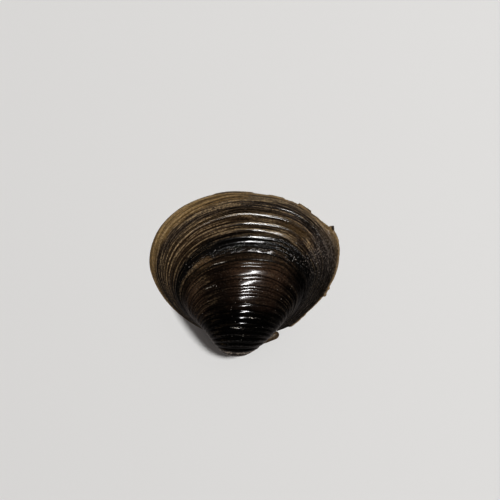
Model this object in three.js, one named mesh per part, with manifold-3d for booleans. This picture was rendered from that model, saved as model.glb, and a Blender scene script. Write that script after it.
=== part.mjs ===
// One valve of a freshwater clam, lying open side down, with the stub of ligament behind its beak.
// Millimetres, +Z up, +X towards the back end of the shell, +Y towards its free (ventral) edge.
//
// The valve is modelled as it grows. Every growth line is the outline of the margin, made smaller
// and turned up about the hinge axis, which runs along X through the beak. The solid is lofted
// through those lines from the beak to the margin, across the lip, and back up inside to the umbo.
import * as THREE from "three";
import { LoftGeometry } from "three/addons/geometries/LoftGeometry.js";
import { mergeVertices } from "three/addons/utils/BufferGeometryUtils.js";
import Module from "manifold-3d";

const wasm = await Module();
wasm.setup();

// Margin, seen from above: x from the beak, y from the hinge axis, round by the front end.
const marginPoints = [
  [0.3, 0.45],
  [-5.0, 1.4],
  [-9.4, 4.0],
  [-12.7, 7.7],
  [-14.3, 12.2],
  [-13.1, 17.1],
  [-9.3, 21.0],
  [-3.2, 23.25],
  [2.6, 23.2],
  [8.2, 21.9],
  [12.8, 18.9],
  [15.4, 15.2],
  [15.5, 11.8],
  [13.6, 7.4],
  [9.8, 3.55],
  [7.8, 2.15],
  [5.4, 1.4],
];
const shellHeight = 23.4; // hinge axis to the free edge
const columns = 44; // points along one growth line

// Growth spiral. A line's size is 1 at the margin and 0 at the beak.
const curl = 0.68; // share of its size that a line gains in one radian of turn
const beakSize = 0.12; // keeps the turn finite at the beak
const tipSize = 0.02;
const youngHeight = 0.07; // young lines were taller for their length by this share
const lean = 3.8; // how far the middle lines lean towards the back end
const backFlare = 0.09; // young lines were shorter behind the beak by this share
const backEnd = 15; // from the beak to where that share is reached
const lateGrowth = 6; // power that leaves these corrections to the last growth

// Concentric ridges.
const ridgePitch = 0.0235; // in size
const ridgeHeight = 0.2;
const ridgeFront = 0.38; // share of the pitch from a groove to the crest that follows it
const firstRidge = 0.07; // size of the line where the ridges start
const fullRidge = 0.33; // size from which they have their full height

// Wall, lip and hinge plate.
const lipWidth = 0.45;
const lipStep = 0.1; // width of the step from the lip up to the hinge plate
const edgeWall = 0.65; // inset of the inner surface at the margin, in the plane of the growth line
const wall = 1.3; // and further in
const wallGrowth = 0.12; // in size, over which the wall thickens
const meanRadius = 12; // of the margin
const middleHeight = 11.5; // of the margin's middle above the hinge axis
const plateWidth = 1.5; // extra inset that leaves the hinge plate
const plateStart = 2; // height above the hinge axis where the plate starts to narrow
const plateEnd = 7; // and where it has run out
const plateRecess = 0.6; // the plate lies this far above the lip at the beak, to leave room for teeth
const recessStart = 1; // height above the hinge axis where the plate starts to come down
const recessEnd = 5; // and where it is level with the lip
const innerSize = 0.4; // growth line where the hollow starts to close
const innerRings = 11;
const closingRings = 4;
const closingTurn = 0.3; // radians that the hollow still turns while it closes
const closingEnd = 0.95; // share of a quarter circle through which it closes

// Hinge teeth: three cardinals under the beak and a pair of laterals on each side.
const cardinals = [
  { tilt: -0.75, length: 1.3 },
  { tilt: -0.1, length: 1.2 },
  { tilt: 0.6, length: 1.5 },
];
const cardinalStart = 0.75; // from the beak to the near end of a cardinal
const cardinalWidth = 0.42;
const laterals = { front: [0.055, 0.13], back: [0.945, 0.865] }; // share of the way round the margin
const lateralInsets = [1.0, 1.7];
const lateralWidth = 0.4;
const lateralSteps = 7;
const toothRoot = 0.2; // depth to which a tooth is rooted in the plate
const toothEndWidth = 0.35; // share of its width that a tooth has at its ends
const toothEdgeWidth = 0.55; // share of its width along its free edge
const toothEndRise = 0.15; // share of the recess that a tooth fills at its ends
const toothRise = 0.85; // and at its middle

// Ligament stub, a bean along the back slope of the hinge.
const ligamentPath = [
  [2.9, -0.5, 0.8],
  [4.0, -0.05, 0.8],
  [5.2, 0.5, 0.75],
  [6.3, 1.05, 0.7],
];
const ligamentRadius = 0.5;
const ligamentSides = 10;
const ligamentRings = 10;
const ligamentEnd = 0.01; // share of its length that is left off at each rounded end

// The margin as a closed curve, and evenly spaced points along it.
const margin = new THREE.CatmullRomCurve3(
  marginPoints.map(([x, y]) => new THREE.Vector3(x, y, 0)),
  true,
  "centripetal",
);
const outline = margin.getSpacedPoints(columns).slice(0, columns);

const turnAt = (size) => Math.log((1 + beakSize) / (size + beakSize)) / curl;
const early = (size) => 1 - size ** lateGrowth;
const tallness = (size) => size * (1 + youngHeight * early(size));

// Where a point of the margin lay along X when the line had a given size.
function alongX(p, size) {
  const narrowing = 1 - backFlare * early(size) * THREE.MathUtils.smoothstep(p.x, 0, backEnd);
  const sway = lean * size ** 2 * early(size) * (p.y / shellHeight) ** 2;
  return size * p.x * narrowing + sway;
}

// A point of the plane through the hinge axis that is turned up by an angle.
function turned(x, reach, angle) {
  return new THREE.Vector3(x, reach * Math.cos(angle), reach * Math.sin(angle));
}

// The growth line of a given size, lifted off the surface by a ridge's height at its lowest edge.
function growthLine(size, lift = 0) {
  const swell = lift / (size * shellHeight);
  const angle = turnAt(size) + curl * swell;
  return outline.map((p) => {
    const reach = tallness(size) * p.y;
    return turned(alongX(p, size) * (1 + swell), reach * (1 + swell), angle);
  });
}

// How much of the hinge plate there is at a point of the margin: 1 at the beak, 0 past its ends.
const plateShare = (p) => 1 - THREE.MathUtils.smoothstep(p.y, plateStart, plateEnd);
const plateFall = (p) => THREE.MathUtils.smoothstep(p.y, recessStart, recessEnd);
const plateLevel = (p) => plateRecess * (1 - plateFall(p));

// A line of the inner surface: the growth line drawn in by the wall and the hinge plate.
// A closing of 1 shrinks it to its middle.
function innerLine(size, extraTurn = 0, closing = 0) {
  const angle = turnAt(size) + extraTurn;
  const middle = tallness(size) * middleHeight;
  const thickened = THREE.MathUtils.smoothstep(1 - size, 0, wallGrowth);
  const inset = 1 - THREE.MathUtils.lerp(edgeWall, wall, thickened) / (size * meanRadius);
  const open = Math.sqrt(1 - closing ** 2);
  return outline.map((p) => {
    const reach = middle + (tallness(size) * p.y - middle) * inset + plateWidth * plateShare(p);
    const point = turned(alongX(p, size) * inset * open, middle + (reach - middle) * open, angle);
    point.z += plateLevel(p) * open;
    return point;
  });
}

// The margin drawn in by a distance, level with the rest plane or raised to the hinge plate.
function lipLine(inset, raised) {
  return outline.map((p) => {
    const scale = 1 - inset / meanRadius;
    const y = middleHeight + (p.y - middleHeight) * scale;
    return new THREE.Vector3(p.x * scale, y, raised ? plateLevel(p) : 0);
  });
}

// The middle of a line, repeated, so that a loft can end there in a point.
function pole(line) {
  const centre = new THREE.Vector3();
  for (const p of line) centre.addScaledVector(p, 1 / line.length);
  return line.map(() => centre);
}

function valveLines() {
  const lines = [pole(growthLine(tipSize)), growthLine(tipSize)];
  for (let crest = firstRidge; crest < 1; crest += ridgePitch) {
    lines.push(growthLine(crest - ridgePitch * ridgeFront));
    lines.push(growthLine(crest, ridgeHeight * Math.min(1, crest / fullRidge)));
  }
  lines.push(growthLine(1), lipLine(lipWidth, false), lipLine(lipWidth + lipStep, true));
  for (let i = 0; i <= innerRings; i++) {
    lines.push(innerLine(THREE.MathUtils.lerp(1, innerSize, i / innerRings)));
  }
  for (let i = 1; i <= closingRings; i++) {
    const closing = Math.sin(((closingEnd * i) / closingRings) * (Math.PI / 2));
    lines.push(innerLine(innerSize, closingTurn * closing, closing));
  }
  lines.push(pole(lines.at(-1)));
  return lines;
}

// A closed geometry as a solid that can be joined to others.
function solid(geometry) {
  const bare = new THREE.BufferGeometry().setIndex(geometry.index);
  bare.setAttribute("position", geometry.attributes.position);
  const merged = mergeVertices(bare, 1e-4);
  return new wasm.Manifold(
    new wasm.Mesh({
      numProp: 3,
      vertProperties: merged.attributes.position.array,
      triVerts: new Uint32Array(merged.index.array),
    }),
  );
}

function geometryOf(body) {
  const mesh = body.getMesh();
  const geometry = new THREE.BufferGeometry();
  geometry.setAttribute("position", new THREE.BufferAttribute(mesh.vertProperties, 3));
  geometry.setIndex(new THREE.BufferAttribute(mesh.triVerts, 1));
  geometry.computeVertexNormals();
  return geometry;
}

// A tooth along a line of points on the plate: a bar with a blunt edge, narrow at both ends.
function tooth(points, width) {
  const lines = points.map((p, i) => {
    const before = points[Math.max(0, i - 1)];
    const after = points[Math.min(points.length - 1, i + 1)];
    const side = new THREE.Vector3(before.y - after.y, after.x - before.x, 0).normalize();
    const bulge = Math.sin((Math.PI * i) / (points.length - 1));
    const half = (width / 2) * THREE.MathUtils.lerp(toothEndWidth, 1, bulge);
    const edge = half * toothEdgeWidth;
    const tip = p.z * (1 - THREE.MathUtils.lerp(toothEndRise, toothRise, bulge));
    const root = p.z + toothRoot;
    const corner = (across, z) => p.clone().addScaledVector(side, across).setZ(z);
    return [corner(half, root), corner(-half, root), corner(-edge, tip), corner(edge, tip)];
  });
  return new LoftGeometry(lines, { capStart: true, capEnd: true });
}

function cardinalTooth({ tilt, length }) {
  const ray = new THREE.Vector3(Math.sin(tilt), Math.cos(tilt), 0);
  const start = new THREE.Vector3(marginPoints[0][0], marginPoints[0][1], plateRecess);
  const reach = [0, 0.5, 1].map((share) => cardinalStart + share * length);
  return tooth(reach.map((r) => start.clone().addScaledVector(ray, r)), cardinalWidth);
}

function lateralTooth([from, to], inset) {
  const points = [];
  for (let i = 0; i <= lateralSteps; i++) {
    const p = margin.getPointAt(THREE.MathUtils.lerp(from, to, i / lateralSteps));
    const inwards = new THREE.Vector3(-p.x, middleHeight - p.y, 0).normalize();
    points.push(p.clone().addScaledVector(inwards, inset).setZ(plateLevel(p)));
  }
  return tooth(points, lateralWidth);
}

function valveGeometry() {
  let body = solid(new LoftGeometry(valveLines()));
  const teeth = cardinals.map(cardinalTooth);
  for (const side of Object.values(laterals)) {
    for (const inset of lateralInsets) teeth.push(lateralTooth(side, inset));
  }
  for (const each of teeth) body = body.add(solid(each));
  return geometryOf(body);
}

function ligamentGeometry() {
  const path = new THREE.CatmullRomCurve3(ligamentPath.map((p) => new THREE.Vector3(...p)));
  const lines = [];
  for (let i = 0; i <= ligamentRings; i++) {
    const along = THREE.MathUtils.clamp(i / ligamentRings, ligamentEnd, 1 - ligamentEnd);
    const centre = path.getPointAt(along);
    const ahead = path.getTangentAt(along);
    const side = new THREE.Vector3(-ahead.y, ahead.x, 0).normalize();
    const up = new THREE.Vector3().crossVectors(ahead, side);
    const radius = ligamentRadius * Math.sqrt(1 - (2 * along - 1) ** 4);
    const line = [];
    for (let j = 0; j < ligamentSides; j++) {
      const angle = (j / ligamentSides) * 2 * Math.PI;
      const point = centre.clone().addScaledVector(side, radius * Math.cos(angle));
      line.push(point.addScaledVector(up, radius * Math.sin(angle)));
    }
    lines.push(line);
  }
  return new LoftGeometry(lines, { capStart: true, capEnd: true });
}

const valve = new THREE.Mesh(
  valveGeometry(),
  new THREE.MeshStandardMaterial({ color: 0x3a2c1c, roughness: 0.35, metalness: 0 }),
);
valve.name = "valve";

const ligament = new THREE.Mesh(
  ligamentGeometry(),
  new THREE.MeshStandardMaterial({ color: 0x7a5a2c, roughness: 0.5, metalness: 0 }),
);
ligament.name = "ligament";

// The part's origin is on the rest plane, under the middle of its box.
const clam = new THREE.Group();
clam.add(valve, ligament);
const middle = new THREE.Box3().setFromObject(clam).getCenter(new THREE.Vector3());
for (const piece of [valve, ligament]) piece.position.set(-middle.x, -middle.y, 0);

export default clam;
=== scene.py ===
import math
from bisect import bisect_right
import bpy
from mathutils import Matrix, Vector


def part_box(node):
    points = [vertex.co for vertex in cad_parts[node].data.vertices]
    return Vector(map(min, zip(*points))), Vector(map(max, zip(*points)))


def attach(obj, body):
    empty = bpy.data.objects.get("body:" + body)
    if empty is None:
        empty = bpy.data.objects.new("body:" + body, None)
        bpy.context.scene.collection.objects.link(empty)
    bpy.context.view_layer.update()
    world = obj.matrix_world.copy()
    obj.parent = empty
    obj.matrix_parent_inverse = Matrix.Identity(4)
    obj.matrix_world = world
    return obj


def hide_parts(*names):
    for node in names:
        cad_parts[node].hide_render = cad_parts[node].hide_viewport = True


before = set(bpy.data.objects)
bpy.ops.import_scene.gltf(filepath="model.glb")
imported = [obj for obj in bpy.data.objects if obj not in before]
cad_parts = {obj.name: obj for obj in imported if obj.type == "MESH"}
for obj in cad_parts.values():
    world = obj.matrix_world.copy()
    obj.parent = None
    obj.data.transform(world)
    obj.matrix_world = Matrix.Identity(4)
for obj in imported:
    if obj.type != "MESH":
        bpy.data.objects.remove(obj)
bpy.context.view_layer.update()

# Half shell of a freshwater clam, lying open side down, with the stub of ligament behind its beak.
from types import SimpleNamespace

import bmesh
import bpy
from mathutils import Vector, noise
from mathutils.geometry import interpolate_bezier

mm = 0.001


def lerp(a, b, share):
    return a + (b - a) * share


def smoothstep(value, low, high):
    share = min(1.0, max(0.0, (value - low) / (high - low)))
    return share * share * (3 - 2 * share)


def fadeOut(value, low, high):
    return 1 - smoothstep(value, low, high)


def alongStops(stops, place):
    # value between the stops (place, value), straight from one to the next
    for (x0, y0), (x1, y1) in zip(stops, stops[1:]):
        if place <= x1:
            return lerp(y0, y1, min(1.0, max(0.0, (place - x0) / (x1 - x0))))
    return stops[-1][1]


# Valve: the sizes repeat the solid's, in mm, with x and y measured from the beak.
valve = {
    "margin": [  # outline on the rest plane, round by the front end
        (0.3, 0.45), (-5.0, 1.4), (-9.4, 4.0), (-12.7, 7.7), (-14.3, 12.2), (-13.1, 17.1),
        (-9.3, 21.0), (-3.2, 23.25), (2.6, 23.2), (8.2, 21.9), (12.8, 18.9), (15.4, 15.2),
        (15.5, 11.8), (13.6, 7.4), (9.8, 3.55), (7.8, 2.15), (5.4, 1.4),
    ],
    "height": 23.4,       # hinge axis to the free edge
    "curl": 0.68,         # share of its size that a growth line gains in a radian of turn
    "beakSize": 0.12,
    "tipSize": 0.02,
    "youngHeight": 0.07,  # young lines were taller by this share
    "lean": 3.8,          # how far the middle lines lean towards the back end
    "backFlare": 0.09,    # young lines were shorter behind the beak by this share
    "backEnd": 15.0,
    "lateGrowth": 6,      # the higher, the later the outline took its last form
    "beakShift": (-0.6, -0.3),  # the tip of the beak hooks to the front and outwards
    "beakLines": (0.08, 0.42),  # growth lines between which that ends
    "openColumns": 220,   # points along a growth line, away from the beak
    "beakColumns": 36,    # and close to it, where the hinge teeth are
    "beakShare": 0.027,   # of the margin, to each side of the beak
    "squareStep": 0.004,  # share round the margin over which its direction is taken
    "skinEnd": 1.001,     # growth from which the faces are of porcelain
}

# Ridges by growth line, from the beak: the crest, the groove behind it and the height in mm.
crests = [
    (0.05, 0.062, 0.02), (0.075, 0.088, 0.03), (0.1, 0.113, 0.05), (0.125, 0.138, 0.07),
    (0.15, 0.163, 0.08), (0.176, 0.186, 0.08), (0.196, 0.206, 0.08), (0.217, 0.237, 0.1),
    (0.259, 0.274, 0.11), (0.289, 0.305, 0.11), (0.32, 0.333, 0.11), (0.345, 0.356, 0.1),
    (0.367, 0.379, 0.11), (0.391, 0.402, 0.1), (0.413, 0.425, 0.11), (0.438, 0.453, 0.14),
    (0.471, 0.486, 0.06), (0.492, 0.4965, 0.035), (0.504, 0.5125, 0.05), (0.5175, 0.5225, 0.035),
    (0.536, 0.5485, 0.06), (0.5535, 0.5585, 0.035), (0.58, 0.5965, 0.075), (0.605, 0.61, 0.03),
    (0.616, 0.6225, 0.035), (0.642, 0.65, 0.03), (0.672, 0.678, 0.15), (0.687, 0.6955, 0.13),
    (0.704, 0.7135, 0.12), (0.723, 0.738, 0.13), (0.754, 0.764, 0.16), (0.77, 0.775, 0.04),
    (0.784, 0.795, 0.16), (0.811, 0.82, 0.03), (0.832, 0.8435, 0.22), (0.848, 0.853, 0.03),
    (0.864, 0.871, 0.08), (0.877, 0.883, 0.05), (0.891, 0.899, 0.18), (0.907, 0.914, 0.05),
    (0.922, 0.93, 0.05), (0.939, 0.948, 0.045), (0.957, 0.966, 0.04), (0.977, 1.0, 0.035),
]
ridges = {
    # across a ridge: high roundness is a flat top, high narrowness a thin crest on flat ground
    "roundness": [
        (0.1, 2.0), (0.445, 2.0), (0.46, 8.0), (0.59, 8.0),
        (0.65, 2.4), (0.68, 1.6), (0.75, 1.5), (1.0, 1.5),
    ],
    "narrowness": [
        (0.1, 1.3), (0.4, 1.3), (0.45, 1.0), (0.65, 1.0), (0.73, 1.6), (0.75, 3.0), (0.762, 3.0),
        (0.775, 2.0), (0.797, 2.0), (0.81, 4.2), (0.87, 4.2), (0.88, 1.8), (0.905, 1.6), (1.0, 1.3),
    ],
    # shares of the height at which the mesh has a row beside a crest: plain, narrow and flat ones
    "levels": (0.72, 0.28),
    "narrowLevels": (0.78, 0.36, 0.06),
    "narrowOver": 1.8,
    "flatLevels": (0.98, 0.7, 0.2),
    "flatOver": 3,
    "worn": 0.75,               # share of their height that the ridges lack under the rough back end
    "wornFrom": (0.63, 0.7),    # shares round the margin between which that starts
    "wornTo": (0.88, 0.96),     # and between which it ends
    "wornLines": (0.62, 0.72),  # growth lines between which it starts
    "frontLow": 0.6,            # share of their height that the outer ridges lose on the front end
    "frontLowTo": (0.22, 0.36),
    "frontLowLines": (0.7, 0.76),
    "flankHigh": 1.0,           # share by which the middle ridges are higher towards both ends
    "flankFrom": (0.08, 0.2),   # share away from half way round
    "flankLines": (0.44, 0.46),
    "flankLinesEnd": (0.6, 0.62),
    "stretches": {0.891: (0.56, 0.66)},  # crests that stand out only between these shares of the margin
    "stretchFade": 0.04,
    "stretchLow": 0.3,          # share of their height elsewhere
    "heightChange": 0.2,        # share by which it wanders along a ridge
    "heightNoise": (3.5, 1.7),  # how fast along a ridge, and from one to the next
    "sizeChange": 0.005,        # how far a ridge strays from its growth line
    "sizeNoise": (1.6, 22),
    "settledFrom": (0.05, 0.2),  # growth lines between which that starts
    "settledTo": (0.94, 1.0),
    "fullHeight": [             # mm, height from which a crest is marked in full
        (0.0, 0.02), (0.15, 0.06), (0.2, 0.08), (0.24, 0.1),
        (0.44, 0.1), (0.46, 0.03), (0.6, 0.03), (0.65, 0.1),
    ],
    "markRound": 2.5,           # roundness of the ridges as the skin's colours follow them
    "crown": 0.18,              # mm, swell along the middle of the dome
    "crownMiddle": 1.5,         # where along x, in mm
    "crownReach": 4.5,
    "crownFrom": (0.25, 0.45),  # growth lines between which it rises, and between which it ends
    "crownTo": (0.56, 0.72),
    "wrinkle": [                # mm, crinkled crests
        (0.64, 0.0), (0.658, 0.05), (0.685, 0.05), (0.697, 0.012), (1.0, 0.012),
    ],
    "wrinkleUp": (0.1, 0.8),    # shares of the height between which they get it
    "wrinkleNoise": 1.1,
    "backWrinkle": 0.07,        # mm, more of it on the back end of the black band
    "backWrinkleFrom": (4.0, 7.0),  # from the beak along x, in mm
    "bandFrom": (0.64, 0.66),   # growth lines between which the black band starts
    "bandTo": (0.72, 0.74),
    "flakes": 0.06,             # mm, rough skin on the back end
    "flakesFrom": (6.0, 11.0),  # from the beak along x, in mm
    "flakesNoise": 1.6,
    "roughNoise": 30,           # how fast the roughness changes from line to line
}
# Broken and grown-on places of the edge: from and to share round the margin, mm outwards there.
edgeSteps = [
    (0.44, 0.517, 0.08, 0.15), (0.517, 0.543, 0.01, 0.03), (0.543, 0.577, 0.12, 0.15),
    (0.577, 0.588, 0.02, 0.02), (0.588, 0.604, 0.07, 0.06), (0.604, 0.632, 0.3, 0.24),
    (0.632, 0.66, -0.05, 0.05), (0.66, 0.6765, 0.05, 0.3), (0.6765, 0.6805, 0.55, 1.0),
    (0.6805, 0.687, 0.98, 0.62), (0.687, 0.71, 0.58, 0.38), (0.71, 0.735, 0.3, 0.02),
    (0.775, 0.797, -0.03, -0.12), (0.797, 0.803, 0.12, 0.1), (0.812, 0.818, 0.14, 0.17),
    (0.818, 0.867, -0.1, -0.12), (0.88, 0.905, 0.02, 0.12), (0.905, 0.916, -0.42, -0.38),
    (0.916, 0.927, -0.3, 0.0),
]
edge = {
    "band": 0.955,        # growth line from which the broken edge is drawn in or out
    "ragged": 0.05,       # mm of fine raggedness
    "raggedFrom": (0.4, 0.6),  # shares round the margin between which it starts
    "raggedTo": (0.88, 0.94),  # and between which it ends
    "raggedNoise": 240,
    "raggedPlace": (3.1, 0.7),  # where in the noise
    "round": 0.05,        # mm, rounding of the edge
    "sharp": 0.0007,      # share round the margin in which a step rises
    "sharpFrom": 0.15,    # mm, steps as large as this are sharp
}
inside = {
    "lipWidth": 0.45,
    "lipStep": 0.1,
    "edgeWall": 0.65,
    "wall": 1.3,
    "wallGrowth": 0.12,
    "meanRadius": 12.0,
    "middleHeight": 11.5,
    "plateWidth": 1.5,
    "plateStart": 2.0,
    "plateEnd": 7.0,
    "plateRecess": 0.6,
    "recessStart": 1.0,
    "recessEnd": 5.0,
    "innerSize": 0.4,     # growth line where the hollow starts to close
    "closingTurn": 0.3,
    "closingEnd": 0.97,
    "rows": 46,           # from the lip to the top of the hollow
    "plateRows": 0.4,     # share of them on the hinge plate at the beak
    "rimRows": 0.03,      # and at the free edge
    "closingRows": 0.3,   # share of the hollow's rows that close it
    "edgeFollow": (0.1, 0.6),  # mm from the edge in which the lip leaves its broken places
    "lipGrowth": (1.01, 1.04, 1.08),  # growth that the colours go by, on the rows of the lip
    "hollowGrowth": 1.1,  # and where the hollow starts
    "plateGrowth": 0.1,   # share of the hollow's growth that the hinge plate takes
}
teeth = {
    "cardinals": [(-0.75, 1.3), (-0.1, 1.2), (0.6, 1.5)],  # tilt in radians, length
    "cardinalStart": 0.75,
    "cardinalWidth": 0.42,
    "cardinalFlank": (0.45, 1.25),              # of half the width, between top and foot
    "cardinalEnds": 0.4,                        # the lower, the blunter
    "laterals": [(0.05, 0.135), (0.95, 0.86)],  # shares round the margin
    "lateralPlaces": (0.3, 0.8),                # across the plate
    "lateralWidth": 0.16,
    "lateralFlank": (0.2, 1.0),
    "lateralEnds": 0.5,
    "socketDepth": 0.18,
    "socketFlank": (0.05, 0.18),                # across the plate, between floor and brim
    "socketRoom": 0.3,                          # mm that the plate leaves for a socket
    "rise": 0.88,                               # share of the recess that a tooth fills
    "clear": 0.12,                              # share at both sides of the plate without teeth
    "floorGap": 0.02,                           # mm that the plate keeps from the floor
}

marginKnots = [Vector((x, y, 0)) for x, y in valve["margin"]]
valveLow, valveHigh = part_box("valve")


def marginLine(knots, steps=40):
    # closed curve through the knots, as a fine line
    line = []
    for i in range(len(knots)):
        p0, p1, p2, p3 = (knots[(i + k) % len(knots)] for k in (-1, 0, 1, 2))
        d0, d1, d2 = (math.sqrt((b - a).length) for a, b in ((p0, p1), (p1, p2), (p2, p3)))
        leave = ((p1 - p0) / d0 - (p2 - p0) / (d0 + d1) + (p2 - p1) / d1) * d1
        arrive = ((p2 - p1) / d1 - (p3 - p1) / (d1 + d2) + (p3 - p2) / d2) * d1
        line += interpolate_bezier(p1, p1 + leave / 3, p2 - arrive / 3, p2, steps + 1)[:-1]
    return line + [knots[0]]


outline = marginLine(marginKnots)
lengths = [0.0]
for a, b in zip(outline, outline[1:]):
    lengths.append(lengths[-1] + (b - a).length)


def marginAt(share):
    length = (share % 1.0) * lengths[-1]
    i = min(bisect_right(lengths, length) - 1, len(outline) - 2)
    return outline[i].lerp(outline[i + 1], (length - lengths[i]) / (lengths[i + 1] - lengths[i]))


def columnShares():
    # points are closer together near the beak
    near = valve["beakShare"]
    shares = [lerp(-near, near, i / valve["beakColumns"]) for i in range(valve["beakColumns"])]
    shares += [lerp(near, 1 - near, i / valve["openColumns"]) for i in range(valve["openColumns"])]
    # and two stand close beside each sharp step of the edge
    steps = [step for step in edgeSteps if max(abs(step[2]), abs(step[3])) > edge["sharpFrom"]]
    ends = sorted({end for step in steps for end in step[:2]})
    shares = [share for share in shares if all(abs(share - end) > 2 * edge["sharp"] for end in ends)]
    shares += [end + side * edge["sharp"] for end in ends for side in (-1, 1)]
    return sorted(shares)


shares = columnShares()
column = [marginAt(share) for share in shares]
around = [(math.cos(2 * math.pi * share), math.sin(2 * math.pi * share)) for share in shares]
beakX = valveLow.x / mm - min(p.x for p in outline)
beakY = valveHigh.y / mm - max(p.y for p in outline)


def inFrame(point):
    return Vector((point.x + beakX, point.y + beakY, point.z)) * mm


def turnAt(size):
    return math.log((1 + valve["beakSize"]) / (size + valve["beakSize"])) / valve["curl"]


def early(size):
    return 1 - size ** valve["lateGrowth"]


def tallness(size):
    return size * (1 + valve["youngHeight"] * early(size))


def alongX(p, size):
    narrowing = 1 - valve["backFlare"] * early(size) * smoothstep(p.x, 0, valve["backEnd"])
    sway = valve["lean"] * size**2 * early(size) * (p.y / valve["height"]) ** 2
    return size * p.x * narrowing + sway


def turned(x, reach, angle):
    return Vector((x, reach * math.cos(angle), reach * math.sin(angle)))


def outwards(i):
    # square to the margin at a column
    step = valve["squareStep"]
    along = marginAt(shares[i] + step) - marginAt(shares[i] - step)
    return Vector((-along.y, along.x, 0)).normalized()


def edgeShift(i):
    # mm by which the edge stands out at a column
    share = shares[i] % 1.0
    shift = 0.0
    for start, end, atStart, atEnd in edgeSteps:
        if start <= share < end:
            shift = lerp(atStart, atEnd, (share - start) / (end - start))
    ragged = edge["ragged"] * smoothstep(share, *edge["raggedFrom"]) * fadeOut(share, *edge["raggedTo"])
    return shift + ragged * noise.noise(Vector((share * edge["raggedNoise"], *edge["raggedPlace"])))


edgeShifts = [edgeShift(i) for i in range(len(shares))]
outward = [outwards(i) for i in range(len(shares))]


def crestProfile(size, away):
    # 1 on the crest, 0 in the groove
    return (1 - away ** alongStops(ridges["roundness"], size)) ** alongStops(ridges["narrowness"], size)


def crestSteps(size):
    # places beside a crest where the mesh has a row, by how much of the height is left
    roundness = alongStops(ridges["roundness"], size)
    narrowness = alongStops(ridges["narrowness"], size)
    levels = ridges["levels"]
    if narrowness > ridges["narrowOver"]:
        levels = ridges["narrowLevels"]
    elif roundness > ridges["flatOver"]:
        levels = ridges["flatLevels"]
    return [(1 - level ** (1 / narrowness)) ** (1 / roundness) for level in levels]


def ridgeLift(i, size, crest, profile):
    # mm that a ridge stands out at a column
    share = shares[i]
    c, s = around[i]
    crestSize, _, height = crests[crest]
    along, between = ridges["heightNoise"]
    wander = noise.noise(Vector((c * along, s * along, crest * between)))
    lift = height * profile * (1 + ridges["heightChange"] * wander)
    if crestSize in ridges["stretches"]:
        start, end = ridges["stretches"][crestSize]
        fade = ridges["stretchFade"]
        shown = smoothstep(share, start - fade, start) * fadeOut(share, end, end + fade)
        lift *= lerp(ridges["stretchLow"], 1, shown)
    worn = smoothstep(share, *ridges["wornFrom"]) * fadeOut(share, *ridges["wornTo"])
    lift *= 1 - ridges["worn"] * worn * smoothstep(size, *ridges["wornLines"])
    front = fadeOut(share, *ridges["frontLowTo"]) * smoothstep(size, *ridges["frontLowLines"])
    lift *= 1 - ridges["frontLow"] * front
    flank = smoothstep(abs(share - 0.5), *ridges["flankFrom"])
    flank *= smoothstep(size, *ridges["flankLines"]) * fadeOut(size, *ridges["flankLinesEnd"])
    return lift * (1 + ridges["flankHigh"] * flank)


def crownLift(x, size):
    # mm that the dome is fuller along its middle
    crown = ridges["crown"] * math.exp(-((x - ridges["crownMiddle"]) / ridges["crownReach"]) ** 2)
    return crown * smoothstep(size, *ridges["crownFrom"]) * fadeOut(size, *ridges["crownTo"])


def roughLift(x, y, size, profile, settled):
    # mm of crinkled crests and flaky skin
    rough = Vector((x, y, size * ridges["roughNoise"]))
    band = smoothstep(size, *ridges["bandFrom"]) * fadeOut(size, *ridges["bandTo"])
    wrinkle = ridges["backWrinkle"] * smoothstep(x, *ridges["backWrinkleFrom"]) * band
    wrinkle += alongStops(ridges["wrinkle"], size)
    wrinkle *= smoothstep(profile, *ridges["wrinkleUp"])
    flaky = ridges["flakes"] * smoothstep(x, *ridges["flakesFrom"]) * settled
    lift = wrinkle * noise.noise(rough * ridges["wrinkleNoise"])
    return lift + flaky * noise.noise(rough * ridges["flakesNoise"])


def outerPoint(i, size, crest, place):
    # a point on the outside: place runs from -1 and 1 in the grooves to 0 on the crest
    p = column[i]
    c, s = around[i]
    settled = smoothstep(size, *ridges["settledFrom"]) * fadeOut(size, *ridges["settledTo"])
    along, between = ridges["sizeNoise"]
    stray = noise.noise(Vector((c * along, s * along, size * between)))
    grown = size + ridges["sizeChange"] * settled * stray
    profile = crestProfile(size, abs(place))
    x = alongX(p, grown)
    y = tallness(grown) * p.y
    lift = ridgeLift(i, size, crest, profile) + crownLift(x, size)
    lift += roughLift(x, y, size, profile, settled)
    swell = lift / (grown * valve["height"])
    point = turned(x * (1 + swell), y * (1 + swell), turnAt(grown) + valve["curl"] * swell)
    point += outward[i] * edgeShifts[i] * smoothstep(size, edge["band"], 1.0)
    young = fadeOut(size, *valve["beakLines"])
    point.x += valve["beakShift"][0] * young
    point.y += valve["beakShift"][1] * young
    marked = min(profile, 1 - abs(place) ** ridges["markRound"])  # the painted groove shade and the rubbed crests follow this; grooves show wider than they are
    return point, marked * min(1.0, crests[crest][2] / alongStops(ridges["fullHeight"], size))


def plateShare(p):
    return 1 - smoothstep(p.y, inside["plateStart"], inside["plateEnd"])


def plateLevel(p):
    return inside["plateRecess"] * (1 - smoothstep(p.y, inside["recessStart"], inside["recessEnd"]))


def lipPoint(i, inset, level):
    p = column[i]
    scale = 1 - inset / inside["meanRadius"]
    point = Vector((p.x * scale, lerp(inside["middleHeight"], p.y, scale), level))
    return point + outward[i] * edgeShifts[i] * fadeOut(inset, *inside["edgeFollow"])


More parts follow.
